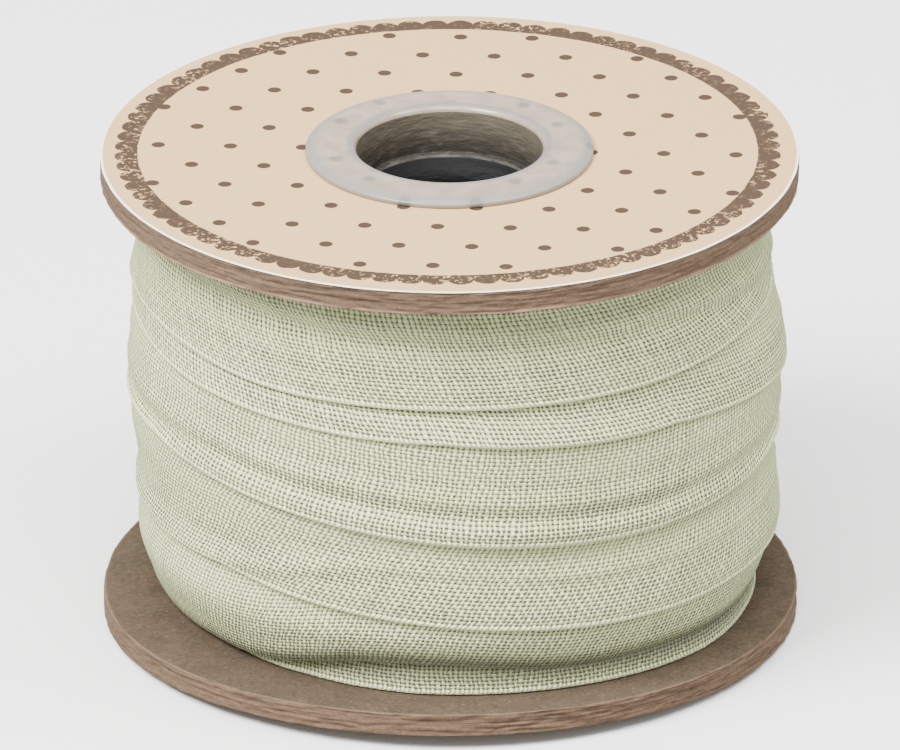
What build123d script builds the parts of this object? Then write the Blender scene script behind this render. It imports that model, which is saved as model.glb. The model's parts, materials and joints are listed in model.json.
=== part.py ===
from build123d import *
import math
import os

# Spool of woven ribbon: two board discs held on a core tube by a telescoping plastic hub,
# wound with one long ribbon whose free end lifts off the top turn.
# Millimetres, +Z up the spool's axis, origin at the centre of the face it stands on.

# ---- Driving dimensions ----
flange_radius = 30.0            # both boards and the printed label
board_thickness = 2.0
label_thickness = 0.15
board_gap = 37.8                # winding space between the boards

bore_radius = 8.0               # mouth of the upper hub
outer_barrel_wall = 0.9         # upper hub
inner_barrel_wall = 0.6         # lower hub, which slides up inside the upper one
barrel_clearance = 0.1          # radial gap between the two barrels
inner_barrel_setback = 3.9      # from the top of the upper hub down to the inner barrel's rim
barrel_end_gap = 0.3            # under the outer barrel, above the lower hub's flange
hub_flange_radius = 12.35
hub_flange_thickness = 0.8
hub_edge_thickness = 0.4        # at the flange's outer edge
hub_bevel_width = 1.7           # the sloping rim outside the flange's flat face
mouth_round = 0.55              # rounded lips of the bore

snap_bead_height = 0.25         # stands out of the inner barrel
snap_bead_width = 0.8
snap_below_rim = 1.4            # from the inner barrel's rim down to the middle of the bead
snap_clearance = 0.1            # round the bead in its groove

board_hole_clearance = 0.15     # boards on the outer barrel
core_clearance = 0.2            # core tube on the outer barrel
core_wall = 2.0

ribbon_width = 10.0
ribbon_thickness = 0.35
flange_reveal = 1.7             # the boards stand out this far past the winding
winding_offset = 0.45           # the winding sits a little to one side of the hub
winding_clearance = 0.1         # between the core tube, the inner layers and the outer turns
outer_band = 1.0                # radial depth of the outer turns
foot_setback = 2.6              # the innermost visible layer, where it stands on the lower board
foot_slope = 0.6                # how much that layer leans out by the lowest outer turn
turn_shares = (0.09, 0.20, 0.39, 0.64)  # lower selvages of the lower turns, up the winding

tail_gap = 0.3                  # free end over the turn below it
tail_board_gap = 0.4            # free end under the upper board
tail_length = 27.0              # along the ribbon
tail_root_angle = 150.0         # where the free end leaves the winding, from +X

# ---- Levels and radii that follow ----
lower_board_z = hub_flange_thickness
winding_bottom = lower_board_z + board_thickness
winding_top = winding_bottom + board_gap
upper_board_top = winding_top + board_thickness
label_top = upper_board_top + label_thickness
hub_top = label_top + hub_flange_thickness

outer_barrel_radius = bore_radius + outer_barrel_wall
inner_barrel_radius = bore_radius - barrel_clearance
spindle_radius = inner_barrel_radius - inner_barrel_wall
inner_barrel_top = hub_top - inner_barrel_setback
hub_flat_radius = hub_flange_radius - hub_bevel_width
hub_bevel_depth = hub_flange_thickness - hub_edge_thickness
snap_z = inner_barrel_top - snap_below_rim

board_hole_radius = outer_barrel_radius + board_hole_clearance
core_inner_radius = outer_barrel_radius + core_clearance
core_outer_radius = core_inner_radius + core_wall

winding_radius = flange_radius - flange_reveal
underlayer_bore = core_outer_radius + winding_clearance + winding_offset
outer_turn_bore = winding_radius - outer_band
underlayer_radius = outer_turn_bore - winding_clearance
foot_radius = winding_radius - foot_setback
top_turn_bottom = winding_top - tail_board_gap - ribbon_width
turn_bottoms = [winding_bottom + share * board_gap for share in turn_shares] + [top_turn_bottom]
turn_tops = turn_bottoms[1:] + [winding_top]
winding_axis = Axis((winding_offset, 0, 0), (0, 0, 1))
winding_section = Plane(origin=(winding_offset, 0, 0), x_dir=(1, 0, 0), z_dir=(0, -1, 0))

tail_inner_radius = winding_radius + tail_gap
tail_outer_radius = tail_inner_radius + ribbon_thickness
tail_middle_radius = (tail_inner_radius + tail_outer_radius) / 2
tail_span = math.degrees(tail_length / tail_middle_radius)
tail_tip_angle = tail_root_angle - tail_span
tail_plane = Plane(origin=(winding_offset, 0, top_turn_bottom))

# ---- Lower hub: flange under the lower board, inner barrel with a snap bead ----
with BuildPart() as lower_hub:
    with BuildSketch(Plane.XZ) as lower_hub_section:
        with BuildLine():
            Polyline(
                (spindle_radius, inner_barrel_top),
                (spindle_radius, 0),
                (hub_flat_radius, 0),
                (hub_flange_radius, hub_bevel_depth),
                (hub_flange_radius, hub_flange_thickness),
                (inner_barrel_radius, hub_flange_thickness),
                (inner_barrel_radius, snap_z - snap_bead_width / 2),
                (inner_barrel_radius + snap_bead_height, snap_z),
                (inner_barrel_radius, snap_z + snap_bead_width / 2),
                (inner_barrel_radius, inner_barrel_top),
                close=True,
            )
        make_face()
        mouth = lower_hub_section.vertices().group_by(Axis.Z)[0].sort_by(Axis.X)[0]
        fillet(mouth, radius=mouth_round)
    revolve(axis=Axis.Z)

# ---- Upper hub: flange on the label, outer barrel down through both boards ----
with BuildPart() as upper_hub:
    outer_barrel_end = hub_flange_thickness + barrel_end_gap
    groove_radius = inner_barrel_radius + snap_bead_height + snap_clearance
    groove_half_width = snap_bead_width / 2 + snap_clearance
    with BuildSketch(Plane.XZ) as upper_hub_section:
        with BuildLine():
            Polyline(
                (bore_radius, outer_barrel_end),
                (bore_radius, snap_z - groove_half_width),
                (groove_radius, snap_z),
                (bore_radius, snap_z + groove_half_width),
                (bore_radius, hub_top),
                (hub_flat_radius, hub_top),
                (hub_flange_radius, hub_top - hub_bevel_depth),
                (hub_flange_radius, label_top),
                (outer_barrel_radius, label_top),
                (outer_barrel_radius, outer_barrel_end),
                close=True,
            )
        make_face()
        mouth = upper_hub_section.vertices().group_by(Axis.Z)[-1].sort_by(Axis.X)[0]
        fillet(mouth, radius=mouth_round)
    revolve(axis=Axis.Z)

# ---- Core tube: the paper tube that the ribbon is wound on, which spaces the boards ----
with BuildPart() as core_tube:
    with BuildSketch(Plane.XY.offset(winding_bottom)):
        Circle(core_outer_radius)
        Circle(core_inner_radius, mode=Mode.SUBTRACT)
    extrude(amount=board_gap)

# ---- Boards and label ----
with BuildPart() as lower_board:
    with BuildSketch(Plane.XY.offset(lower_board_z)):
        Circle(flange_radius)
        Circle(board_hole_radius, mode=Mode.SUBTRACT)
    extrude(amount=board_thickness)

with BuildPart() as upper_board:
    with BuildSketch(Plane.XY.offset(winding_top)):
        Circle(flange_radius)
        Circle(board_hole_radius, mode=Mode.SUBTRACT)
    extrude(amount=board_thickness)

with BuildPart() as upper_label:
    with BuildSketch(Plane.XY.offset(upper_board_top)):
        Circle(flange_radius)
        Circle(board_hole_radius, mode=Mode.SUBTRACT)
    extrude(amount=label_thickness)

# ---- Ribbon: inner layers, which show only as a foot on the lower board ----
with BuildPart() as ribbon_underlayers:
    with BuildSketch(winding_section):
        with BuildLine():
            Polyline(
                (underlayer_bore, winding_bottom),
                (foot_radius, winding_bottom),
                (foot_radius + foot_slope, turn_bottoms[0]),
                (underlayer_radius, turn_bottoms[1]),
                (underlayer_radius, winding_top),
                (underlayer_bore, winding_top),
                close=True,
            )
        make_face()
    revolve(axis=winding_axis)

# ---- Ribbon: outer turns, each one's lower selvage lapped over the turn below ----
with BuildPart() as ribbon_outer_turns:
    turn_outline = []
    for turn_bottom, turn_top in zip(turn_bottoms, turn_tops):
        turn_outline.append((winding_radius, turn_bottom))
        turn_outline.append((winding_radius - ribbon_thickness, turn_top))
    with BuildSketch(winding_section):
        with BuildLine():
            Polyline(
                (outer_turn_bore, turn_bottoms[0]),
                *turn_outline,
                (outer_turn_bore, winding_top),
                close=True,
            )
        make_face()
    revolve(axis=winding_axis)

# ---- Ribbon: free end, which lies on the top turn and swings out about its root ----
with BuildPart() as ribbon_tail:
    with BuildSketch(tail_plane):
        with BuildLine():
            inner_edge = CenterArc((0, 0), tail_inner_radius, tail_tip_angle, tail_span)
            outer_edge = CenterArc((0, 0), tail_outer_radius, tail_tip_angle, tail_span)
            Line(inner_edge @ 0, outer_edge @ 0)
            Line(inner_edge @ 1, outer_edge @ 1)
        make_face()
    extrude(amount=ribbon_width)

# ---- Export ----
os.makedirs("parts", exist_ok=True)
pieces = {
    "lower_hub": lower_hub,
    "upper_hub": upper_hub,
    "core_tube": core_tube,
    "lower_board": lower_board,
    "upper_board": upper_board,
    "upper_label": upper_label,
    "ribbon_underlayers": ribbon_underlayers,
    "ribbon_outer_turns": ribbon_outer_turns,
    "ribbon_tail": ribbon_tail,
}
for name, piece in pieces.items():
    piece.part.label = name
    export_step(piece.part, f"parts/{name}.step")

root = math.radians(tail_root_angle)
print("tail hinge", winding_offset + tail_middle_radius * math.cos(root), tail_middle_radius * math.sin(root))
print("tail levels", top_turn_bottom, top_turn_bottom + ribbon_width, "tip angle", tail_tip_angle)
print("spindle bore radius", spindle_radius, "wall from", mouth_round, "to", inner_barrel_top)
print("overall height", hub_top)
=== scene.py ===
"""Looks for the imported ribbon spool: board discs, printed label, frosted hub and wound ribbon.

Lengths are worked out in millimetres and written to the meshes in metres.
"""
import json
import math

import bpy
import numpy as np
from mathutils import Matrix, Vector


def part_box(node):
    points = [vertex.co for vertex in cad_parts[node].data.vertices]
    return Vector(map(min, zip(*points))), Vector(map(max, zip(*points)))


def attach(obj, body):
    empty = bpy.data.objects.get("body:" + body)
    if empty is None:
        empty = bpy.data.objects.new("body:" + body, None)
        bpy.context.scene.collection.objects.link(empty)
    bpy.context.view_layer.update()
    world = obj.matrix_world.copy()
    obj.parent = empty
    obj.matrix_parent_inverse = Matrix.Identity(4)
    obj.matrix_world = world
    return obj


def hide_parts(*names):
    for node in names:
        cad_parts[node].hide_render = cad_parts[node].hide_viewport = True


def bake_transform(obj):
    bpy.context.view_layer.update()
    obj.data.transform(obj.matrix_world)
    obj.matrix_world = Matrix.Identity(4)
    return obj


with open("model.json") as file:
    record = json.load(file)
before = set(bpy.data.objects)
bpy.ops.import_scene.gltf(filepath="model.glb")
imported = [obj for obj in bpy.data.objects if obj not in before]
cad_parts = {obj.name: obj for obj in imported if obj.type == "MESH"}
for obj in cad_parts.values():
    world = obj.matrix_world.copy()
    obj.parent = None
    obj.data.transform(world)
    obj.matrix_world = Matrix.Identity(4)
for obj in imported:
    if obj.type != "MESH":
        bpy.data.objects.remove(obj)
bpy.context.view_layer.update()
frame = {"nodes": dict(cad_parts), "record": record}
MM = 0.001


def box_mm(node):
    """Lowest and highest corner of a CAD node, in millimetres."""
    low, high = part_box(node)
    return np.array(low) / MM, np.array(high) / MM


# ---- Levels and radii, from the frame ----
FLANGE_RADIUS = box_mm("upper_board")[1][0]
LOWER_BOARD_BOTTOM = box_mm("lower_board")[0][2]
WINDING_FLOOR = box_mm("lower_board")[1][2]
WINDING_CEILING = box_mm("upper_board")[0][2]
UPPER_BOARD_TOP = box_mm("upper_board")[1][2]
LABEL_TOP = box_mm("upper_label")[1][2]
HUB_TOP = box_mm("upper_hub")[1][2]
OUTER_BARREL_BOTTOM = box_mm("upper_hub")[0][2]
INNER_BARREL_TOP = box_mm("lower_hub")[1][2]
HUB_FLANGE_RADIUS = box_mm("upper_hub")[1][0]
SPINDLE_RADIUS = frame["record"]["mounts"][0]["dims"]["r_mm"]
WINDING_CENTRE_X = (box_mm("ribbon_outer_turns")[0][0] + box_mm("ribbon_outer_turns")[1][0]) / 2

# ---- Sizes of the details ----
BORE_RADIUS = 8.0
OUTER_BARREL_RADIUS = 8.9
INNER_BARREL_RADIUS = 7.9
BOARD_HOLE_RADIUS = 9.05
BOARD_WARP = 0.6                # the lower board rises this far at front and back and drops beside
RIBBON_WIDTH = 10.0
RIBBON_THICKNESS = 0.35
END_PITCH = 0.37                # between the yarns along the ribbon
PICK_PITCH = 0.46               # between the yarns across it
ENDS = RIBBON_WIDTH / END_PITCH
UNROLL_RADIUS = 28.0            # the radius that turns winding degrees into length of ribbon
# Yarns across the whole foot turn, which stands on the board
FOOT_PICKS = 2 * math.pi * UNROLL_RADIUS / PICK_PITCH


# =====================================================================================
# Node helpers
# =====================================================================================
class Nodes:
    """Builds one material's node tree with short calls. Values may be numbers or sockets."""

    def __init__(self, name):
        self.material = bpy.data.materials.new(name)
        self.material.use_nodes = True
        self.tree = self.material.node_tree
        self.shader = self.tree.nodes["Principled BSDF"]

    def new(self, kind):
        return self.tree.nodes.new(kind)

    def put(self, socket, value):
        if isinstance(value, bpy.types.NodeSocket):
            self.tree.links.new(value, socket)
        else:
            socket.default_value = value

    def math(self, operation, *values):
        node = self.new("ShaderNodeMath")
        node.operation = operation
        for socket, value in zip(node.inputs, values):
            self.put(socket, value)
        return node.outputs[0]

    def add(self, a, b):
        return self.math("ADD", a, b)

    def sub(self, a, b):
        return self.math("SUBTRACT", a, b)

    def mul(self, a, b):
        return self.math("MULTIPLY", a, b)

    def step(self, value, low, high, out_low=0.0, out_high=1.0):
        """Smooth step from out_low at low to out_high at high."""
        node = self.new("ShaderNodeMapRange")
        node.interpolation_type = "SMOOTHSTEP"
        for socket, number in zip(node.inputs, (value, low, high, out_low, out_high)):
            self.put(socket, number)
        return node.outputs[0]

    def mix(self, factor, a, b):
        """Mixes two colours."""
        node = self.new("ShaderNodeMix")
        node.data_type = "RGBA"
        self.put(node.inputs[0], factor)
        for socket, colour in zip(node.inputs[6:8], (a, b)):
            self.put(socket, colour if isinstance(colour, bpy.types.NodeSocket) else (*colour, 1.0))
        return node.outputs[2]

    def object_mm(self):
        """Position in the row's frame, in millimetres."""
        coordinates = self.new("ShaderNodeTexCoord")
        scaled = self.new("ShaderNodeVectorMath")
        scaled.operation = "SCALE"
        scaled.inputs["Scale"].default_value = 1 / MM
        self.tree.links.new(coordinates.outputs["Object"], scaled.inputs[0])
        return scaled.outputs[0]

    def uv(self, name):
        node = self.new("ShaderNodeUVMap")
        node.uv_map = name
        return node.outputs[0]

    def split(self, vector):
        node = self.new("ShaderNodeSeparateXYZ")
        self.tree.links.new(vector, node.inputs[0])
        return node.outputs

    def join(self, x, y, z=0.0):
        node = self.new("ShaderNodeCombineXYZ")
        for socket, value in zip(node.inputs, (x, y, z)):
            self.put(socket, value)
        return node.outputs[0]

    def noise(self, vector, scale, detail=2.0, roughness=0.5):
        node = self.new("ShaderNodeTexNoise")
        self.tree.links.new(vector, node.inputs["Vector"])
        node.inputs["Scale"].default_value = scale
        node.inputs["Detail"].default_value = detail
        node.inputs["Roughness"].default_value = roughness
        return node.outputs["Fac"]

    def random(self, vector):
        """One random number per whole-number cell."""
        node = self.new("ShaderNodeTexWhiteNoise")
        self.tree.links.new(vector, node.inputs["Vector"])
        return node.outputs["Value"]

    def bump(self, height, distance_mm, strength=1.0):
        node = self.new("ShaderNodeBump")
        node.inputs["Strength"].default_value = strength
        node.inputs["Distance"].default_value = distance_mm * MM
        self.tree.links.new(height, node.inputs["Height"])
        self.tree.links.new(node.outputs[0], self.shader.inputs["Normal"])

    def finish(self, colour=None, roughness=None, **constants):
        """Links or sets colour and roughness, and sets constants on the shader's own sockets."""
        if colour is not None:
            self.put(self.shader.inputs["Base Color"], colour)
        if roughness is not None:
            self.put(self.shader.inputs["Roughness"], roughness)
        for name, value in constants.items():
            self.shader.inputs[name.replace("_", " ")].default_value = value
        return self.material


# =====================================================================================
# Materials
# =====================================================================================
def polar(n, x, y):
    """Radius and angle in turns of x, y."""
    radius = n.math("SQRT", n.add(n.mul(x, x), n.mul(y, y)))
    turns = n.mul(n.math("ARCTAN2", y, x), 1 / (2 * math.pi))
    return radius, turns


def dot_pattern(n, x, y, grain, soft):
    """The label's staggered dots, on a grid turned a little from the row's axes.

    grain, from 0 to 1, makes their edges ragged. soft is half the width of an edge.
    """
    tilt = math.radians(-2.8)
    across, between_rows, dot_radius, ragged = 6.2, 4.12, 0.59, 0.08
    first_x, first_y = 0.58, 16.9
    from_x = n.sub(x, first_x)
    from_y = n.sub(y, first_y)
    along_row = n.add(n.mul(from_x, math.cos(tilt)), n.mul(from_y, math.sin(tilt)))
    over_rows = n.add(n.mul(from_x, -math.sin(tilt)), n.mul(from_y, math.cos(tilt)))
    row = n.math("ROUND", n.mul(over_rows, 1 / between_rows))
    stagger = n.mul(row, 0.5)
    column = n.add(n.math("ROUND", n.sub(n.mul(along_row, 1 / across), stagger)), stagger)
    off_x = n.sub(along_row, n.mul(column, across))
    off_y = n.sub(over_rows, n.mul(row, between_rows))
    off_centre, _ = polar(n, off_x, off_y)
    edge = dot_radius + ragged / 2
    return n.step(n.add(off_centre, n.mul(grain, ragged)), edge + soft, edge - soft)


def board_material():
    """Raw greyboard: pressed recycled fibre, with plies and dark splits along its cut edge."""
    n = Nodes("greyboard")
    place = n.object_mm()
    x, y, z = n.split(place)
    radius, turns = polar(n, x, y)
    along = n.mul(turns, 2 * math.pi * FLANGE_RADIUS)
    # The flat face: mottled pulp, fine fibres, dark and pale specks
    pulp = n.noise(place, 0.35, 4.0, 0.6)
    fibres = n.noise(n.join(n.mul(x, 2.2), n.mul(y, 7.0), z), 1.0, 3.0, 0.6)
    specks = n.noise(place, 2.6, 1.0, 0.5)
    face = n.mix(n.step(pulp, 0.3, 0.7), (0.048, 0.034, 0.021), (0.074, 0.051, 0.032))
    face = n.mix(n.step(fibres, 0.35, 0.70, 0.0, 0.60), face, (0.118, 0.088, 0.063))
    grain = n.noise(place, 5.0, 3.0, 0.7)
    face = n.mix(n.step(grain, 0.50, 0.36, 0.0, 0.50), face, (0.034, 0.025, 0.016))
    face = n.mix(n.step(specks, 0.70, 0.76, 0.0, 0.75), face, (0.030, 0.020, 0.012))
    face = n.mix(n.step(specks, 0.30, 0.25, 0.0, 0.5), face, (0.19, 0.145, 0.10))
    red = n.noise(n.join(n.mul(x, 0.9), n.mul(y, 2.6), n.add(z, 40.0)), 1.0, 2.0, 0.5)
    face = n.mix(n.step(red, 0.66, 0.74, 0.0, 0.55), face, (0.150, 0.058, 0.038))
    # The cut edge: long fibres and plies lie along it
    streaks = n.noise(n.join(n.mul(along, 3.0), n.mul(z, 8.0), 3.7), 1.0, 6.0, 0.85)
    plies = n.noise(n.join(n.mul(along, 0.07), n.mul(z, 2.2), 9.1), 1.0, 1.0, 0.5)
    edge = n.mix(n.step(streaks, 0.30, 0.72), (0.110, 0.069, 0.042), (0.208, 0.137, 0.088))
    splits = n.math("ABSOLUTE", n.sub(n.add(plies, n.mul(n.sub(streaks, 0.5), 0.06)), 0.5))
    edge = n.mix(n.step(splits, 0.035, 0.008, 0.0, 0.50), edge, (0.035, 0.020, 0.012))
    # The die pushed pale fluff out of the upper board's lower rim, which these heights bound
    fluff = n.mul(n.step(n.add(z, n.mul(streaks, 0.5)), 41.20, 41.00), n.step(z, 40.0, 40.2))
    edge = n.mix(n.mul(fluff, 0.75), edge, (0.400, 0.245, 0.165))
    on_edge = n.step(radius, FLANGE_RADIUS - 0.35, FLANGE_RADIUS - 0.05)
    colour = n.mix(on_edge, face, edge)
    relief = n.add(n.mul(n.mul(streaks, on_edge), 0.55),
                   n.add(n.mul(fibres, 0.25), n.mul(n.add(specks, grain), 0.2)))
    n.bump(relief, 0.10)
    return n.finish(colour, 0.92, Specular_IOR_Level=0.2)


def label_material():
    """Cream uncoated paper with a printed dot pattern and a rubbed, scalloped ring."""
    n = Nodes("printed_label")
    place = n.object_mm()
    x, y, _ = n.split(place)
    grain = n.noise(place, 6.0, 3.0, 0.6)
    mottling = n.noise(place, 0.25, 2.0, 0.5)
    paper = n.mix(n.step(grain, 0.3, 0.7), (0.545, 0.348, 0.163), (0.590, 0.380, 0.182))
    paper = n.mix(n.step(mottling, 0.45, 0.8, 0.0, 0.25), paper, (0.535, 0.332, 0.152))

    dots = dot_pattern(n, x, y, grain, 0.04)

    # The ring, printed a little off centre: smooth inside, scalloped outside, speckled by missing ink
    scallops, ring_inner, scallop_valley, scallop_height = 80, 26.6, 27.65, 0.95
    radius, turns = polar(n, n.add(x, 0.15), n.sub(y, 0.25))
    wobble = n.mul(n.sub(n.noise(place, 0.9, 2.0, 0.5), 0.5), 0.5)
    lobe = n.mul(n.sub(n.math("FRACT", n.mul(turns, scallops)), 0.5), 2.0)
    arch = n.math("SQRT", n.math("MAXIMUM", n.sub(1.0, n.mul(lobe, lobe)), 0.0))
    outer = n.add(n.add(scallop_valley, n.mul(arch, scallop_height)), wobble)
    inside = n.step(n.sub(outer, radius), -0.04, 0.05)
    outside = n.step(n.add(radius, n.mul(wobble, 0.4)), ring_inner - 0.04, ring_inner + 0.05)
    missed = n.step(n.noise(place, 2.4, 3.0, 0.7), 0.56, 0.62)
    patches = n.step(n.noise(place, 0.22, 1.0, 0.5), 0.36, 0.62, 0.10, 0.95)
    ring = n.mul(n.mul(inside, outside), n.sub(1.0, n.mul(missed, patches)))

    within_ring = n.step(radius, ring_inner + 0.4, ring_inner + 0.3)
    ink = n.math("MAXIMUM", n.mul(dots, within_ring), ring)
    colour = n.mix(n.mul(ink, 0.97), paper, (0.033, 0.0175, 0.0102))
    # The cut rim of the paper is bare and white
    from_axis, _ = polar(n, x, y)
    rim = n.step(n.add(from_axis, n.mul(grain, 0.10)), FLANGE_RADIUS - 0.22, FLANGE_RADIUS - 0.12)
    colour = n.mix(rim, colour, (0.97, 0.91, 0.78))
    n.bump(grain, 0.012)
    return n.finish(colour, 0.72, Specular_IOR_Level=0.3)


def hub_material():
    """Frosted translucent plastic: milky, with the label's dots showing softly through it."""
    n = Nodes("frosted_plastic")
    place = n.object_mm()
    x, y, z = n.split(place)
    radius, _ = polar(n, x, y)
    haze = n.noise(place, 0.5, 3.0, 0.6)
    moulding = n.noise(place, 3.0, 2.0, 0.5)
    milk = n.mix(n.step(haze, 0.3, 0.7), (0.262, 0.206, 0.150), (0.345, 0.276, 0.208))
    # Greyer down the flange's outer slope
    milk = n.mix(n.step(radius, 10.9, 12.0, 0.0, 0.85), milk, (0.205, 0.203, 0.186))
    dots = dot_pattern(n, x, y, haze, 0.26)
    # Only the upper hub's flange lies on the label
    on_paper = n.mul(n.step(radius, 8.9, 9.2), n.step(z, 20.0, 21.0))
    milk = n.mix(n.mul(n.mul(dots, on_paper), 0.62), milk, (0.105, 0.098, 0.088))
    # The mouth's rolled lip is painted with a grey-blue line, which stands in for the wall seen edge
    # on
    lip = n.mul(n.mul(n.step(radius, 8.98, 8.72), n.step(radius, 8.05, 8.40)),
                n.step(z, 42.7, 42.9))
    milk = n.mix(n.mul(lip, 0.6), milk, (0.145, 0.155, 0.165))
    roughness = n.step(moulding, 0.2, 0.8, 0.26, 0.38)
    n.bump(moulding, 0.02)
    return n.finish(milk, roughness, IOR=1.48, Specular_IOR_Level=0.5, Coat_Weight=0.45,
                    Coat_Roughness=0.14)


def bore_material():
    """The same plastic inside the bore: the dark core shows through the thin wall, and shade is
    painted on it, darker deeper down.
    """
    n = Nodes("bore_plastic")
    place = n.object_mm()
    x, y, z = n.split(place)
    smear = n.noise(n.join(n.mul(x, 0.5), n.mul(y, 0.5), n.mul(z, 1.6)), 1.0, 3.0, 0.6)
    depth = n.add(z, n.mul(n.sub(smear, 0.5), 2.6))
    # Painted shade: the wall is painted darker deeper down the bore
    wall = n.mix(n.step(depth, 39.2, 42.6), (0.030, 0.027, 0.022), (0.096, 0.082, 0.060))
    wall = n.mix(n.step(smear, 0.54, 0.70, 0.0, 0.30), wall, (0.140, 0.121, 0.090))
    # Painted shade: below the inner barrel's end everything is painted dark, but for a painted thin
    # line of light on the end
    wall = n.mix(n.step(z, 39.35, 39.05), wall, (0.006, 0.006, 0.006))
    inner_end = n.mul(n.step(z, 39.05, 39.15), n.step(z, 39.40, 39.30))
    wall = n.mix(n.mul(inner_end, n.step(smear, 0.35, 0.6, 0.35, 1.0)), wall, (0.070, 0.066, 0.058))
    n.bump(smear, 0.15)
    return n.finish(wall, 0.62, IOR=1.48, Specular_IOR_Level=0.12)


def core_material():
    """Wound kraft paper of the core tube."""
    n = Nodes("kraft_paper")
    place = n.object_mm()
    x, y, z = n.split(place)
    fibres = n.noise(n.join(n.mul(x, 2.0), n.mul(y, 2.0), n.mul(z, 0.6)), 1.0, 4.0, 0.6)
    colour = n.mix(n.step(fibres, 0.3, 0.7), (0.30, 0.21, 0.14), (0.42, 0.31, 0.21))
    n.bump(fibres, 0.05)
    return n.finish(colour, 0.9)


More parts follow.
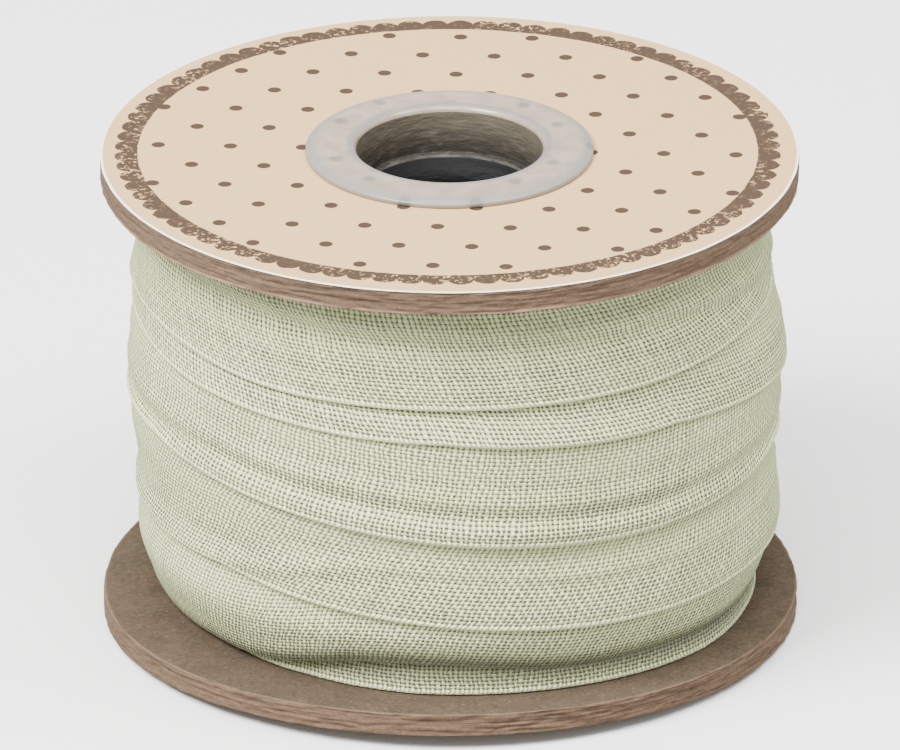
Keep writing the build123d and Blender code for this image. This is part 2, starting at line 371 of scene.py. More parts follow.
def ribbon_material():
    """Open plain weave. The Thread map counts picks along the ribbon and ends across it."""
    n = Nodes("woven_cotton")
    turned, across, _ = n.split(n.uv("Thread"))
    # Yarns wander slowly, and jitter from one crossing to the next
    slow = n.noise(n.join(n.mul(turned, 0.07), n.mul(across, 0.10), 0.0), 1.0, 2.0, 0.5)
    quick = n.noise(n.join(n.mul(turned, 0.45), n.mul(across, 0.30), 8.0), 1.0, 1.0, 0.5)
    lift = n.noise(n.join(n.mul(turned, 0.25), n.mul(across, 0.45), 21.0), 1.0, 1.0, 0.5)
    along = n.add(turned, n.add(n.mul(n.sub(slow, 0.5), 2.4), n.mul(n.sub(quick, 0.5), 1.0)))
    weave_across = n.add(across, n.mul(n.sub(lift, 0.5), 0.55))
    pick = n.math("ROUND", along)
    end = n.math("ROUND", weave_across)
    from_pick = n.sub(along, pick)
    from_end = n.sub(weave_across, end)
    yarns = n.join(pick, end, 0.5)
    # Each yarn is a little thicker or thinner than the next, and the cloth is more open in places
    patches = n.noise(n.join(n.mul(along, 0.05), n.mul(across, 0.16), 2.0), 1.0, 2.0, 0.5)
    stretched = n.mul(n.step(across, 1.0, 5.0), n.step(across, 12.0, 7.0))
    openness = n.mul(n.add(n.step(patches, 0.3, 0.7), n.sub(stretched, 0.5)), 0.045)
    weft_half = n.sub(n.add(0.250, n.mul(n.random(n.join(pick, 7.0, 1.0)), 0.15)), openness)
    warp_half = n.sub(n.add(0.330, n.mul(n.random(n.join(3.0, end, 2.0)), 0.12)), openness)

    def yarn(off, half, other, own):
        """Cover and height of a yarn whose centre is off away, and which passes over every second one.

        other is the place along the yarn, and own is the yarn's number.
        """
        cover = n.step(n.math("ABSOLUTE", off), n.add(half, 0.07), n.sub(half, 0.07))
        share = n.math("DIVIDE", off, n.add(half, 0.06))
        arch = n.math("SQRT", n.math("MAXIMUM", n.sub(1.0, n.mul(share, share)), 0.0))
        wave = n.math("COSINE", n.mul(n.add(other, own), math.pi))
        height = n.add(n.mul(arch, 0.50), n.mul(wave, 0.36))
        return cover, n.mul(n.add(height, 0.6), cover)

    warp_cover, warp_height = yarn(from_end, warp_half, along, end)
    weft_cover, weft_height = yarn(from_pick, weft_half, n.add(weave_across, 1.0), pick)
    cloth = n.math("MAXIMUM", warp_cover, weft_cover)
    height = n.math("MAXIMUM", warp_height, weft_height)

    # Selvages: the weft turns round the outermost end in a zigzag of beads
    edge = n.math("MINIMUM", across, n.sub(ENDS, across))
    turn = n.math("COSINE", n.mul(along, 2 * math.pi))
    line = n.math("ABSOLUTE", n.sub(edge, n.add(0.62, n.mul(turn, 0.24))))
    selvage = n.step(line, 0.48, 0.20)
    bead = n.add(1.12, n.mul(turn, 0.30))
    height = n.math("MAXIMUM", height, n.mul(bead, selvage))
    cloth = n.math("MAXIMUM", cloth, n.step(edge, 1.0, 0.8))

    fuzz = n.noise(n.join(n.mul(along, 3.0), n.mul(across, 3.0), 0.0), 1.0, 3.0, 0.7)
    slub = n.random(yarns)
    shade = n.noise(n.join(n.mul(along, 0.02), n.mul(across, 0.06), 4.0), 1.0, 2.0, 0.5)
    # Painted shade and highlight: each yarn is painted darker low down and lighter on its crown
    yarn_in_painted_shade, yarn_with_painted_highlight = (0.395, 0.430, 0.245), (0.890, 0.975, 0.478)
    colour = n.mix(n.step(n.add(height, n.mul(n.sub(fuzz, 0.5), 0.9)), 0.60, 1.32),
                   yarn_in_painted_shade, yarn_with_painted_highlight)
    colour = n.mix(n.mul(slub, 0.30), colour, (0.92, 0.98, 0.58))
    # Between two picks the ends sink and are painted in shade there, which draws the lean of the weft
    dip_painted_shade = n.step(n.math("ABSOLUTE", from_pick), 0.20, 0.46, 0.0, 0.75)
    colour = n.mix(n.mul(dip_painted_shade, n.sub(1.0, selvage)), colour, (0.285, 0.303, 0.172))
    colour = n.mix(n.step(shade, 0.35, 0.7, 0.0, 0.12), colour, (0.50, 0.53, 0.24))
    # Painted highlight on the selvage: the zigzag is painted bright, brightest on its raised beads
    colour = n.mix(n.mul(selvage, n.add(0.70, n.mul(turn, 0.28))), colour, (0.98, 1.00, 0.62))
    # Painted shade in the crease at the board: the turn on the board is painted darker up to the
    # crease under the next one, and the lowest outer turn is painted darker down to it, most over its
    # first part. Places along the ribbon are counted in foot turns, and the foot gives way over some
    # picks.
    change = 8.0
    foot_painted_shade = n.mul(n.step(turned, FOOT_PICKS + change, FOOT_PICKS - change),
                     n.step(across, 0.5, 5.0, 0.26, 0.72))
    foot_painted_shade = n.mul(foot_painted_shade, n.step(turned, FOOT_PICKS * 0.50, FOOT_PICKS * 0.36, 0.80, 1.20))
    past_foot = n.step(turned, FOOT_PICKS - change, FOOT_PICKS + change)
    lowest = n.mul(past_foot, n.step(turned, FOOT_PICKS * 1.64, FOOT_PICKS * 1.56, 0.62, 1.0))
    lowest = n.mul(lowest, n.step(turned, FOOT_PICKS * 1.95, FOOT_PICKS * 1.80))
    crease_painted_shade = n.add(foot_painted_shade, n.mul(lowest, n.step(across, 7.0, 1.0, 0.0, 0.80)))
    colour = n.mix(crease_painted_shade, colour, (0.088, 0.088, 0.070))
    # Painted shadow in the holes between the yarns, for the shaded cloth beneath them
    colour = n.mix(cloth, (0.105, 0.100, 0.070), colour)
    relief = n.add(height, n.mul(fuzz, 0.22))
    n.bump(relief, 0.22)
    return n.finish(colour, 0.9, Specular_IOR_Level=0.15, Sheen_Weight=0.08, Sheen_Roughness=0.5)


# =====================================================================================
# Mesh helpers
# =====================================================================================
def smooth_noise(rows, columns, row_scale, column_scale, seed):
    """Random field of unit spread, blurred by the two scales (in cells).

    It closes on itself both ways.
    """
    field = np.random.default_rng(seed).standard_normal((rows, columns))
    row_waves = np.fft.fftfreq(rows)[:, None] * row_scale
    column_waves = np.fft.fftfreq(columns)[None, :] * column_scale
    blur = np.exp(-2 * math.pi ** 2 * (row_waves ** 2 + column_waves ** 2))
    field = np.fft.ifft2(np.fft.fft2(field) * blur).real
    return (field - field.mean()) / field.std()


def mesh_object(name, points_mm, faces, material, uv=None):
    """Mesh from points in millimetres and lists of corners.

    uv is (map name, one u, v per corner of each face).
    """
    mesh = bpy.data.meshes.new(name)
    mesh.from_pydata((np.asarray(points_mm) * MM).tolist(), [], faces)
    if uv is not None:
        layer = mesh.uv_layers.new(name=uv[0])
        layer.data.foreach_set("uv", np.asarray(uv[1], dtype=np.float32).ravel())
    mesh.materials.append(material)
    mesh.polygons.foreach_set("use_smooth", [True] * len(mesh.polygons))
    mesh.update()
    piece = bpy.data.objects.new(name, mesh)
    bpy.context.scene.collection.objects.link(piece)
    return piece


def ring_faces(around, section):
    """Quads of a closed ring of closed sections, for points ordered [around][section]."""
    a, s = np.meshgrid(np.arange(around), np.arange(section), indexing="ij")
    a_next, s_next = (a + 1) % around, (s + 1) % section
    here, beyond = a * section, a_next * section
    corners = np.stack([here + s, beyond + s, beyond + s_next, here + s_next], axis=-1)
    return corners.reshape(-1, 4).tolist()


def ring_object(name, radius, angles, height, material):
    """Ring about the spool's axis: radius and height by [around][section], and one angle a row."""
    points = np.stack([radius * np.cos(angles), radius * np.sin(angles), height], axis=-1)
    return mesh_object(name, points.reshape(-1, 3), ring_faces(*radius.shape), material)


def revolved(name, section, material, around=360):
    """Ring with a closed section of (radius, height) points, turned about the spool's axis."""
    section = np.asarray(section, dtype=float)
    angles = np.linspace(0, 2 * math.pi, around, endpoint=False)[:, None]
    radius = np.repeat(section[None, :, 0], around, axis=0)
    height = np.repeat(section[None, :, 1], around, axis=0)
    return ring_object(name, radius, angles, height, material)


def arc_points(centre, radius, start, end, count):
    """Points of a section's arc, from start to end in degrees."""
    angles = np.radians(np.linspace(start, end, count))
    return [(centre[0] + radius * math.cos(a), centre[1] + radius * math.sin(a)) for a in angles]


def straight_points(start, end, count):
    """Evenly spaced points of a section's straight side, without its last one."""
    share = np.linspace(0, 1, count, endpoint=False)[:, None]
    return (np.array(start) * (1 - share) + np.array(end) * share).tolist()


# =====================================================================================
# Boards and label
# =====================================================================================
def board_warp(radius, angle):
    """How far the lower board bends up (front, back) or down (sides), outside the hub's flange."""
    reach = np.clip((radius - HUB_FLANGE_RADIUS) / (FLANGE_RADIUS - HUB_FLANGE_RADIUS), 0, None)
    return -BOARD_WARP * np.cos(2 * angle) * reach ** 1.6


def board(name, bottom, top, seed, warp, top_fray, bottom_fray):
    """Die-cut disc with slightly crushed rims, split plies and ragged fibres on its edge."""
    around = 1080
    fray_width, face_rows, edge_rows, hole_rows = 0.28, 16, 14, 3
    rim, rim_low, rim_high = FLANGE_RADIUS - fray_width, bottom + fray_width, top - fray_width
    section = straight_points((BOARD_HOLE_RADIUS, bottom), (rim, bottom), face_rows)
    section += arc_points((rim, rim_low), fray_width, -90, 0, 5)[:-1]
    section += straight_points((FLANGE_RADIUS, rim_low), (FLANGE_RADIUS, rim_high), edge_rows)
    section += arc_points((rim, rim_high), fray_width, 0, 90, 5)[:-1]
    section += straight_points((rim, top), (BOARD_HOLE_RADIUS, top), face_rows)
    section += straight_points((BOARD_HOLE_RADIUS, top), (BOARD_HOLE_RADIUS, bottom), hole_rows)
    section = np.array(section)
    count = len(section)
    angles = np.linspace(0, 2 * math.pi, around, endpoint=False)[:, None]
    height = np.repeat(section[None, :, 1], around, axis=0)

    # Only the rim is ragged. Where a rim is little frayed, its rounding is squared off
    worn = 0.6
    near_rim = np.clip((section[:, 0] - (FLANGE_RADIUS - worn)) / worn, 0, 1)
    upper = np.clip((section[:, 1] - bottom) / (top - bottom), 0, 1)
    rounding = 1 - np.clip(upper * (top_fray - bottom_fray) + bottom_fray, 0, 1)
    squared = np.minimum(section[:, 0] + near_rim * fray_width * 0.8 * rounding, FLANGE_RADIUS)
    radius = np.repeat(squared[None, :], around, axis=0)
    ragged = smooth_noise(around, count, 2.0, 1.2, seed) * 0.030
    fibres = smooth_noise(around, count, 7.0, 0.5, seed + 1) * 0.028
    out_of_round = smooth_noise(around, 1, 60.0, 0.0, seed + 2) * 0.03
    radius += near_rim * (ragged + fibres - 0.07) + out_of_round * near_rim
    rim_only = np.clip((section[:, 0] - (FLANGE_RADIUS - 0.35)) / 0.3, 0, 1)
    crush = smooth_noise(around, 1, 3.0, 0.0, seed + 3) * 0.045
    height += rim_only * crush * (upper * top_fray + (1 - upper) * bottom_fray)
    radius = np.minimum(radius, FLANGE_RADIUS)
    if warp:
        height += board_warp(radius, angles)
    piece = ring_object(name, radius, angles, height, greyboard)
    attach(piece, "spool")
    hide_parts(name)


def label():
    """Thin paper disc with a soft cut rim, which isn't quite round."""
    around, rim_round, clear, soft_rim = 720, 0.07, 0.02, 0.5
    bottom, top = UPPER_BOARD_TOP + clear, LABEL_TOP
    section = straight_points((BOARD_HOLE_RADIUS, bottom), (FLANGE_RADIUS, bottom), 10)
    section += arc_points((FLANGE_RADIUS - rim_round, top - rim_round), rim_round, 0, 90, 6)
    section += straight_points((FLANGE_RADIUS - 0.3, top), (BOARD_HOLE_RADIUS, top), 12)
    section = np.array(section)
    angles = np.linspace(0, 2 * math.pi, around, endpoint=False)[:, None]
    radius = np.repeat(section[None, :, 0], around, axis=0)
    height = np.repeat(section[None, :, 1], around, axis=0)
    near_rim = np.clip((radius - (FLANGE_RADIUS - soft_rim)) / soft_rim, 0, 1)
    radius += near_rim * (smooth_noise(around, 1, 3.0, 0.0, 41) * 0.012 - 0.03)
    radius = np.minimum(radius, FLANGE_RADIUS)
    piece = ring_object("upper_label_paper", radius, angles, height, printed)
    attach(piece, "spool")
    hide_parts("upper_label")


# =====================================================================================
# Hub
# =====================================================================================
def hub_section(bore, barrel, flange_seat, flange_face, barrel_end):
    """Closed section of a hub half: rolled mouth, domed flange with a thin rounded rim, and barrel.

    flange_face is the outer face's height and flange_seat the face on the board; the lower hub's
    flange_face lies under its seat.
    """
    up = 1 if flange_face > flange_seat else -1
    thickness = abs(flange_face - flange_seat)
    mouth, rim = 0.62, 0.17
    clear = 0.03                # off the paper or board, so that the faces don't coincide
    seat = flange_seat + up * clear
    points = straight_points((bore, barrel_end), (bore, flange_face - up * mouth), 12)
    points += [(bore + mouth - mouth * math.cos(a), flange_face - up * mouth * (1 - math.sin(a)))
               for a in np.radians(np.linspace(0, 90, 10))]
    crown_start, crown_end = bore + mouth, HUB_FLANGE_RADIUS - rim
    slope_start, slope_width = crown_end - 1.7, 1.75
    for share in np.linspace(0.08, 1, 26):
        radius = crown_start + share * (crown_end - crown_start)
        slope = max(0.0, (radius - slope_start) / slope_width)
        dish = 0.05 * math.sin(math.pi * min(share * 1.3, 1))
        drop = thickness * (0.52 * (1 - math.sqrt(1 - slope ** 2)) + dish)
        points.append((radius, flange_face - up * drop))
    rim_top = points[-1][1] - up * rim
    points += [(crown_end + rim * math.sin(a), rim_top + up * rim * math.cos(a))
               for a in np.radians(np.linspace(18, 90, 6))]
    bevel = 0.05
    foot = (HUB_FLANGE_RADIUS - bevel, seat)
    points += straight_points((HUB_FLANGE_RADIUS, seat + up * bevel), foot, 2)
    points += straight_points(foot, (barrel + 0.1, seat), 8)
    points += straight_points((barrel, seat - up * 0.1), (barrel, barrel_end), 12)
    return points


def hub_half(name, node, bore, barrel, flange_seat, flange_face, barrel_end):
    """One half of the hub, frosted outside and darker in the bore, where shade is painted."""
    section = hub_section(bore, barrel, flange_seat, flange_face, barrel_end)
    piece = revolved(name, section, frosted)
    # The wall inside the mouth takes the bore material and its painted shade
    piece.data.materials.append(bore_with_painted_shade)
    lip_height, wall = 0.55, barrel - 0.05
    for face in piece.data.polygons:
        reach = math.hypot(face.center.x, face.center.y) / MM
        past_lip = abs(face.center.z / MM - flange_face) > lip_height
        if reach < wall and past_lip:
            face.material_index = 1
    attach(piece, "spool")
    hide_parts(node)


# =====================================================================================
# Ribbon
# =====================================================================================
# The lower selvage: (winding degrees from the back of the foot turn, height above the winding
# floor). Winding runs clockwise seen from above, so the spool's angle from +X is 90 minus the
# winding degrees.
SELVAGE_PATH = [
    (0, 0.0), (360, 0.1),       # foot turn, on the board
    (400, 1.6), (450, 1.1), (475, 1.1), (491, 1.5), (518, 1.6), (536, 2.9), (546, 3.2), (560, 2.9),
    (566, 2.3), (574, 0.9), (588, 0.2), (630, 0.1), (680, 1.2),
    (720, 3.0), (780, 5.2), (834, 6.2), (855, 6.2), (873, 6.5), (900, 7.5), (938, 9.2), (969, 10.8),
    (1080, 13.6), (1160, 15.6), (1183, 15.4), (1205, 14.5), (1225, 14.3), (1244, 14.8), (1260, 15.4),
    (1293, 17.1), (1326, 18.8), (1350, 19.8),
    (1440, 20.7), (1520, 20.9), (1538, 21.3), (1560, 22.7), (1582, 23.9), (1600, 24.7), (1636, 24.9),
    (1658, 25.4), (1680, 25.9), (1697, 26.9),
    (1800, 28.6), (1860, 29.6), (1899, 29.2), (1920, 28.4), (1937, 27.9), (1985, 27.8), (2015, 27.85),
    (2029, 28.4), (2045, 29.2), (2065, 29.2), (2100, 27.4), (2160, 27.4),
]
# How far the weft leans: picks along per end across, by winding degrees.
WEFT_LEAN = [(0, 0.0), (360, 0.0), (450, 0.30), (720, 0.42), (800, 0.45), (1000, 0.45),
             (1160, 0.15), (1440, 0.1), (1530, -0.38), (1800, -0.42), (1900, -0.40), (2160, -0.40)]
# The pack under the outer turns: (height above the winding floor, radius).
PACK_PROFILE = [(0, 26.4), (5.8, 26.9), (10, 26.85), (13.3, 26.9), (16, 27.3), (20.9, 27.65),
                (24.7, 27.5), (28.4, 26.95), (32.2, 26.45), (34.6, 26.25), (36.0, 26.1), (37.8, 26.6)]
# Where the pack meets the lower board: (angle on the spool, radius).
FOOTPRINT = [(-200, 27.6), (-192, 27.2), (-185.5, 26.1), (-172, 25.0), (-160, 24.5), (-147, 24.1),
             (-135, 24.3), (-122, 24.4), (-111, 25.0), (-98, 25.6), (-65, 25.8), (-35, 26.1),
             (-15, 25.8), (30, 26.2), (100, 26.6), (160, 27.6)]
# The fold over the hidden upper selvage of the turn below: (winding degrees, height of the fold's
# middle above that selvage, depth). The cloth swells over the middle and sinks under it.
FOLDS = [(720, 0.0, 0.0), (780, -0.4, 0.25), (1080, -0.4, 0.30), (1150, 1.0, 0.55),
         (1400, 1.2, 0.55), (1500, 0.0, 0.15), (1740, 0.0, 0.15), (1860, -0.4, 0.80),
         (2160, -0.4, 0.80)]
FOOT_END, TURNS_END = 360, 2100
TAIL_DEGREES = 54
COLUMN_DEGREES = 1.0            # so a number of winding degrees is also a column's number
LAYER_LIFT = 0.55               # how far one turn holds the next off the pack, slack included
LEAST_LAP = 0.7                 # every turn covers at least this much of the one below it
FREE_EDGE = (380, 574)          # winding degrees where the lowest outer turn's edge is free
CLIMB_DEGREES = 60              # over which the ribbon leaves the foot turn for the outer turns
CHUNKS_PER_TURN = 5             # each turn is laid in this many steps


def footprint(degrees):
    """The pack's radius on the lower board at angles on the spool."""
    return np.interp((np.asarray(degrees) + 200) % 360 - 200, *zip(*FOOTPRINT))


def covered(spots):
    """1 where the turn above reaches down over the lowest turn, 0 elsewhere.

    It does so from left of the front round to the back.
    """
    winding = np.arange(spots) * 360 / spots
    return np.clip((winding - 216) / 16, 0, 1) * np.clip((350 - winding) / 30, 0, 1)


def eased(points, at, spread):
    """Values of a listed line at the given places, with its corners eased over spread."""
    fine = np.arange(points[0][0] - 60, points[-1][0] + 60, 1.0)
    values = np.interp(fine, *zip(*points))
    reach = np.arange(-3 * spread, 3 * spread + 1)
    weights = np.exp(-(reach / spread) ** 2 / 2)
    padded = np.pad(values, len(reach) // 2, mode="edge")
    values = np.convolve(padded, weights / weights.sum(), mode="valid")
    return np.interp(at, fine, values)


def blurred(field, along=1, across=1):
    """Small blur of a field, with its edges kept."""
    for _ in range(across):
        padded = np.pad(field, ((0, 0), (1, 1)), mode="edge")
        field = (padded[:, :-2] + 2 * padded[:, 1:-1] + padded[:, 2:]) / 4
    for _ in range(along):
        padded = np.pad(field, ((1, 1), (0, 0)), mode="edge")
        field = (padded[:-2] + 2 * padded[1:-1] + padded[2:]) / 4
    return field


def draped(under, passes=13):
    """Surface that lies on `under` and bridges its steps, as taut cloth does."""
    surface = under
    for _ in range(passes):
        surface = np.maximum(under, blurred(surface, along=1, across=1))
    return np.maximum(blurred(surface, 2, 1), under)


class Winding:
    """Lays the ribbon turn by turn on a height field of the pack's radius."""

    def __init__(self):
        self.columns = np.arange(0, TURNS_END + TAIL_DEGREES + COLUMN_DEGREES, COLUMN_DEGREES)
        self.angle = np.radians(90 - self.columns)
        self.spots = int(360 / COLUMN_DEGREES)
        rim = np.array([0, 0.05, 0.12, 0.22, 0.34, 0.48, 0.66, 0.90, 1.2, 1.6])
        middle = np.linspace(2.0, RIBBON_WIDTH - 2.0, 15)
        self.across = np.concatenate([rim, middle, RIBBON_WIDTH - rim[::-1]])
        self.low = eased(SELVAGE_PATH, self.columns, 7)
        for start in range(2 * self.spots, len(self.low), self.spots):
            above = self.low[start:start + self.spots]
            below = self.low[start - self.spots:start - self.spots + len(above)]
            above[:] = np.minimum(above, below + RIBBON_WIDTH - LEAST_LAP)
        # The top turn's upper part is pressed down where it would pass the upper board
        room = WINDING_CEILING - WINDING_FLOOR - 0.12
        squeeze = np.minimum(1.0, (room - self.low) / RIBBON_WIDTH)
        self.rise = self.low[:, None] + self.across[None, :] * squeeze[:, None]
        self.levels = np.arange(-1.0, WINDING_CEILING - WINDING_FLOOR + 1.0, 0.1)
        self.pack = np.tile(np.interp(self.levels, *zip(*PACK_PROFILE)), (self.spots, 1))
        foot = footprint(90 - np.arange(self.spots) * COLUMN_DEGREES)[:, None] - RIBBON_THICKNESS
        low_part = np.clip(1 - self.levels / 6.5, 0, 1)[None, :] ** 1.5
        self.pack = self.pack - low_part * (PACK_PROFILE[0][1] - foot)
        self.pack = self.pack + smooth_noise(self.spots, len(self.levels), 26, 13, 5) * 0.10
        for column in range(2 * self.spots, len(self.columns)):
            middle, depth = self.fold(column)
            sunk = np.exp(-((self.levels - middle + 0.7) / 0.65) ** 2)
            self.pack[column % self.spots] -= 0.9 * depth * sunk
        # The foot turn leans inwards as it rises, and further in where it is covered
        self.foot_pack = (foot - 0.12 * np.maximum(self.levels, 0)[None, :]
                          - 0.35 * covered(self.spots)[:, None])
        self.radius = np.zeros_like(self.rise)

    def under(self, field, first, last):
        """The field's radius under each point of the ribbon's columns first to last."""
        rows = []
        for column in range(first, last):
            rows.append(np.interp(self.rise[column], self.levels, field[column % self.spots]))
        return np.array(rows)

    def fold(self, column):
        """Height of the middle of a column's fold, and its depth."""
        degrees, offsets, depths = zip(*FOLDS)
        winding = self.columns[column]
        middle = self.rise[column - self.spots][-1] + np.interp(winding, degrees, offsets)
        return middle, np.interp(winding, degrees, depths)

    def relief(self, first, last):
        """How far columns first to last stand out or sink along their folds."""
        shape = np.zeros((last - first, len(self.across)))
        for row, column in enumerate(range(first, last)):
            winding = self.columns[column]
            if winding > 2 * 360:
                middle, depth = self.fold(column)
                over = self.rise[column] - middle
                swell = np.exp(-((over - 0.85) / 0.8) ** 2)
                sink = np.exp(-((over + 0.7) / 0.75) ** 2)
                shape[row] = depth * 0.40 * (swell - sink)
                # Its lower selvage settles onto the turn below
                shape[row] -= 0.15 * np.clip(1 - self.across / 1.2, 0, 1)
            elif winding > 360:
                # The lowest outer turn rolls inwards along its free edge
                free_from, free_to = FREE_EDGE
                free = np.clip((free_to - winding) / 14, 0, 1)
                free = free * np.clip((winding - free_from) / 20, 0, 1)
                shape[row] = -0.85 * free * np.clip(1 - self.across / 3.4, 0, 1) ** 2.2
                shape[row] -= 0.35 * (1 - free) * np.clip(1 - self.across / 0.9, 0, 1) ** 2
        return shape

    def lay(self, field, first, last, overlap=30):
        """Lays columns first to last on the field, chunk by chunk."""
        chunk = self.spots // CHUNKS_PER_TURN
        total = len(self.columns)
        look_ahead = None
        for start in range(first, last, chunk):
            end = min(start + chunk, last)
            after = min(end + overlap, total)
            before = max(start - overlap, first)
            under = self.under(field, before, after)
            laid = start - before
            if laid:
                under[:laid] = self.radius[before:start] - 0.01
            surface = draped(under)
            if laid:
                # Ease from the last chunk's own look ahead into this one
                known = look_ahead[:after - start]
                ease = np.linspace(0, 1, len(known))[:, None]
                part = surface[laid:laid + len(known)]
                surface[laid:laid + len(known)] = np.maximum(part, known * (1 - ease) + part * ease)
            self.radius[start:end] = surface[laid:laid + end - start] + self.relief(start, end)
            look_ahead = surface[laid + end - start:]
            for column in range(start, end):
                top = np.interp(self.levels, self.rise[column], self.radius[column] + LAYER_LIFT,
                                left=0, right=0)
                spot = column % self.spots
                field[spot] = np.maximum(field[spot], top)
        return field


def ribbon_strip(name, winding, first, last, node, body):
    """Closed strip of the ribbon between two columns, with rounded selvages and a Thread map."""
    columns = np.arange(first, last + 1)
    across = winding.across
    # The cloth is thinner along a selvage, and the selvage itself is a bead
    from_edge = np.minimum(across, RIBBON_WIDTH - across)
    bulge = 0.14 * np.exp(-((from_edge - 0.24) / 0.20) ** 2)
    edge_share = np.clip(from_edge / 0.14, 0, 1)
    thickness = RIBBON_THICKNESS * (0.35 + 0.65 * np.sqrt(1 - (1 - edge_share) ** 2))
    thickness = thickness * (1 - 0.25 * np.exp(-(from_edge / 0.7) ** 2)) + bulge
    # The inner face has every third of the outer face's points, in the other order
    inner_picks = np.arange(len(across) - 1, -1, -3)
    if inner_picks[-1] != 0:
        inner_picks = np.append(inner_picks, 0)
    # A cut end thins out onto the turn under it
    cut = np.clip(1 - (last - columns) / 2.5, 0, 1) if body is None else np.zeros(len(columns))
    laid = winding.radius[columns] - 0.16 * cut[:, None]
    outer = laid + thickness * (1 - 0.55 * cut[:, None])
    radius = np.concatenate([outer, laid[:, inner_picks]], axis=1)
    rise = np.concatenate([winding.rise[columns], winding.rise[columns][:, inner_picks]], axis=1)
    width = np.concatenate([across, across[inner_picks]])
    ragged = 0.14 * np.sin(width * 2.9) + 0.09 * np.sin(width * 7.3 + 1.0)
    angle = winding.angle[columns][:, None] + (cut[:, None] >= 1) * ragged / UNROLL_RADIUS
    # The lowest part follows the board's warp
    near_board = np.clip(1 - rise / 6, 0, 1)
    height = WINDING_FLOOR + rise + near_board * board_warp(radius, angle)
    x, y = WINDING_CENTRE_X + radius * np.cos(angle), radius * np.sin(angle)
    points = np.stack([x, y, height], axis=-1)
    count, loop = len(columns), len(width)
    c, s = np.meshgrid(np.arange(count - 1), np.arange(loop), indexing="ij")
    s_next = (s + 1) % loop
    # Winding is clockwise from above, so this order faces outwards
    here, beyond = c * loop, (c + 1) * loop
    corners = np.stack([here + s, here + s_next, beyond + s_next, beyond + s], axis=-1)
    faces = corners.reshape(-1, 4).tolist()
    faces.append(list(range(loop - 1, -1, -1)))
    faces.append([(count - 1) * loop + s for s in range(loop)])

    length = np.radians(winding.columns[columns]) * UNROLL_RADIUS / PICK_PITCH
    lean = eased(WEFT_LEAN, winding.columns[columns], 20)
    ends = width / END_PITCH
    picks = length[:, None] + lean[:, None] * (ends[None, :] - ENDS / 2)
    thread = np.stack([picks, np.repeat(ends[None, :], count, axis=0)], axis=-1).reshape(-1, 2)
    # The cut ends show one plain yarn, of the selvage
    first_cap = np.repeat(thread[:1], loop, axis=0)
    last_cap = np.repeat(thread[-loop:][:1], loop, axis=0)
    caps = np.concatenate([first_cap, last_cap])
    caps[:, 1] = 0.62
    corners_uv = np.concatenate([thread[np.asarray(faces[:-2]).ravel()], caps])
    piece = mesh_object(name, points.reshape(-1, 3), faces, cotton, uv=("Thread", corners_uv))
    for face in piece.data.polygons[-2:]:
        face.use_smooth = False
    bake_rows(piece, count - 1, width, len(across))
    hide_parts(node)
    if body:
        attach(piece, body)
    return piece, points.reshape(count, loop, 3)


def bake_rows(piece, spans, width, outer):
    """UV map that folds the long strip into rows which fill the square, its outer face widest."""
    length = spans * math.radians(COLUMN_DEGREES) * UNROLL_RADIUS
    rows = max(1, round(math.sqrt(length / RIBBON_WIDTH)))
    per_row = math.ceil(spans / rows)
    loop = len(width)
    # Share of a row's height: the outer face first, then the inner one
    outer_place = width[:outer] / RIBBON_WIDTH * 0.84
    inner_place = 0.87 + (1 - width[outer:] / RIBBON_WIDTH) * 0.08
    place = np.concatenate([outer_place, inner_place])
    c, s = np.meshgrid(np.arange(spans), np.arange(loop), indexing="ij")
    low = place[s]
    high = np.where(s == loop - 1, 0.97, place[(s + 1) % loop])
    row, left = c // per_row, (c % per_row) / per_row
    right = left + 0.985 / per_row
    u = np.stack([left, left, right, right], axis=-1)
    v = (row[..., None] + 0.01 + np.stack([low, high, high, low], axis=-1)) / rows
    corners = np.stack([u, v], axis=-1).reshape(-1, 2)
    caps = np.full((2 * loop, 2), 0.999)
    layer = piece.data.uv_layers.new(name="OFBake")
    layer.data.foreach_set("uv", np.concatenate([corners, caps]).astype(np.float32).ravel())


def wind_ribbon():
    """Lays the whole ribbon, and makes its foot turn, its outer turns and its free end."""
    winding = Winding()
    foot = winding.lay(winding.foot_pack.copy(), 0, FOOT_END + 1)
    field = np.maximum(winding.pack, foot)
    winding.lay(field, FOOT_END, TURNS_END + TAIL_DEGREES + 1)
    climb = np.clip((winding.columns[FOOT_END:] - FOOT_END) / CLIMB_DEGREES, 0, 1)[:, None]
    climb = climb * climb * (3 - 2 * climb)
    start = winding.radius[FOOT_END - 1][None, :]
    winding.radius[FOOT_END:] = start * (1 - climb) + winding.radius[FOOT_END:] * climb
    ribbon_strip("ribbon_foot_turn", winding, 0, FOOT_END, "ribbon_underlayers", "spool")
    ribbon_strip("ribbon_turns", winding, FOOT_END, TURNS_END, "ribbon_outer_turns", "spool")
    tail, points = ribbon_strip("ribbon_free_end", winding, TURNS_END, TURNS_END + TAIL_DEGREES,
                                "ribbon_tail", None)
    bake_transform(tail)


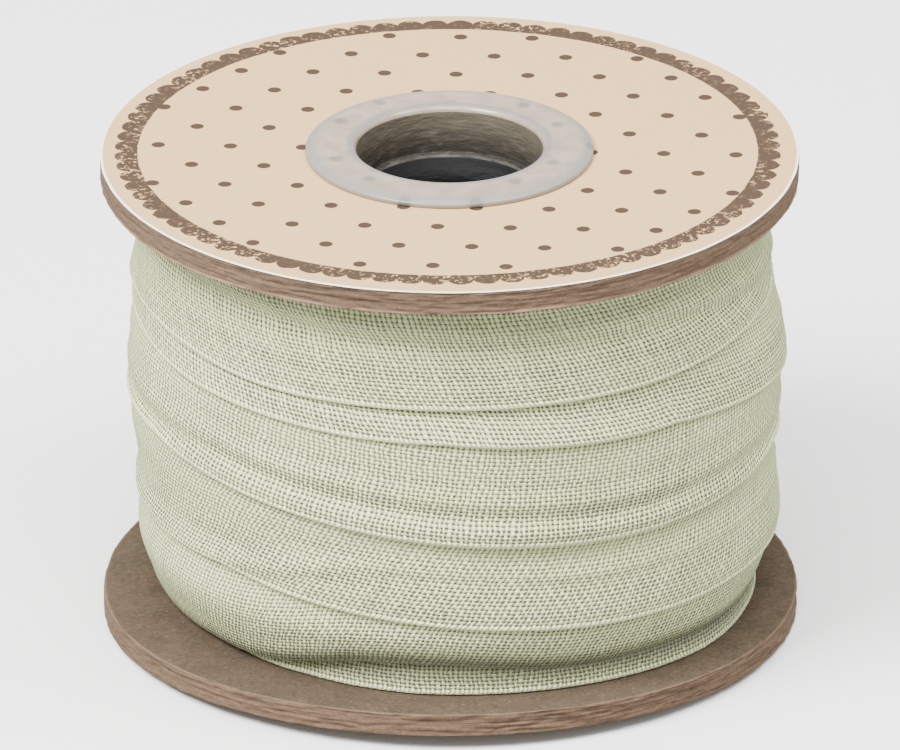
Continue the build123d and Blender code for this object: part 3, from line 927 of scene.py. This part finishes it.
# =====================================================================================
# Stage
# =====================================================================================
def stage():
    """Pale floor, even white world and four soft lamps."""
    bpy.ops.mesh.primitive_plane_add(size=6.0, location=(0, 0, 0))
    floor = bpy.context.object
    floor.name = "floor"
    n = Nodes("pale_floor")
    floor.data.materials.append(n.finish((0.93, 0.93, 0.93, 1.0), 0.9, Specular_IOR_Level=0.1))
    # A bright sweep that throws no light up onto the spool
    floor.visible_diffuse = False

    world = bpy.data.worlds.new("soft_studio")
    world.use_nodes = True
    background = world.node_tree.nodes["Background"]
    background.inputs["Color"].default_value = (1.0, 1.0, 1.0, 1.0)
    background.inputs["Strength"].default_value = 1.0
    bpy.context.scene.world = world
    middle = Vector((0, 0, 0.02))

    def softbox(name, place, size, power):
        """Square lamp of a size in metres and a power in watts, turned to the spool's middle."""
        light = bpy.data.lights.new(name, "AREA")
        light.size = size
        light.energy = power
        lamp = bpy.data.objects.new(name, light)
        lamp.location = place
        lamp.rotation_euler = (middle - Vector(place)).to_track_quat("-Z", "Y").to_euler()
        bpy.context.scene.collection.objects.link(lamp)

    softbox("left_key", (-0.42, -0.33, 0.66), 0.36, 17.4)
    softbox("front_fill", (0.04, -0.36, 0.70), 0.34, 5.6)
    softbox("right_fill", (0.42, -0.14, 0.62), 0.32, 3.6)
    softbox("overhead", (0.0, 0.05, 0.60), 0.30, 1.2)


def camera():
    """Long lens in front of the spool, looking down on it by 24 degrees."""
    elevation, distance, roll = math.radians(23.98), 1.8, math.radians(-0.11)
    focal_mm, aim = 835.7, Vector((0, 0, 0.0218))
    data = bpy.data.cameras.new("camera")
    data.sensor_width = 36.0
    data.lens = focal_mm
    data.clip_end = 50.0
    view = bpy.data.objects.new("camera", data)
    forward = Vector((0, math.cos(elevation), -math.sin(elevation)))
    view.location = aim - forward * distance
    view.rotation_euler = forward.to_track_quat("-Z", "Y").to_euler()
    view.rotation_euler.rotate_axis("Z", roll)
    bpy.context.scene.collection.objects.link(view)
    bpy.context.scene.camera = view


# =====================================================================================
# Making it
# =====================================================================================
greyboard = board_material()
printed = label_material()
frosted = hub_material()
bore_with_painted_shade = bore_material()
kraft = core_material()
cotton = ribbon_material()

camera()
stage()
board("lower_board", LOWER_BOARD_BOTTOM, WINDING_FLOOR, 11, True, 0.25, 0.1)
board("upper_board", WINDING_CEILING, UPPER_BOARD_TOP, 23, False, 0.0, 0.35)
label()
hub_half("upper_hub_shell", "upper_hub", BORE_RADIUS, OUTER_BARREL_RADIUS, LABEL_TOP, HUB_TOP,
         OUTER_BARREL_BOTTOM)
hub_half("lower_hub_shell", "lower_hub", SPINDLE_RADIUS, INNER_BARREL_RADIUS,
         LOWER_BOARD_BOTTOM, 0.0, INNER_BARREL_TOP)
wind_ribbon()
frame["nodes"]["core_tube"].data.materials.clear()
frame["nodes"]["core_tube"].data.materials.append(kraft)
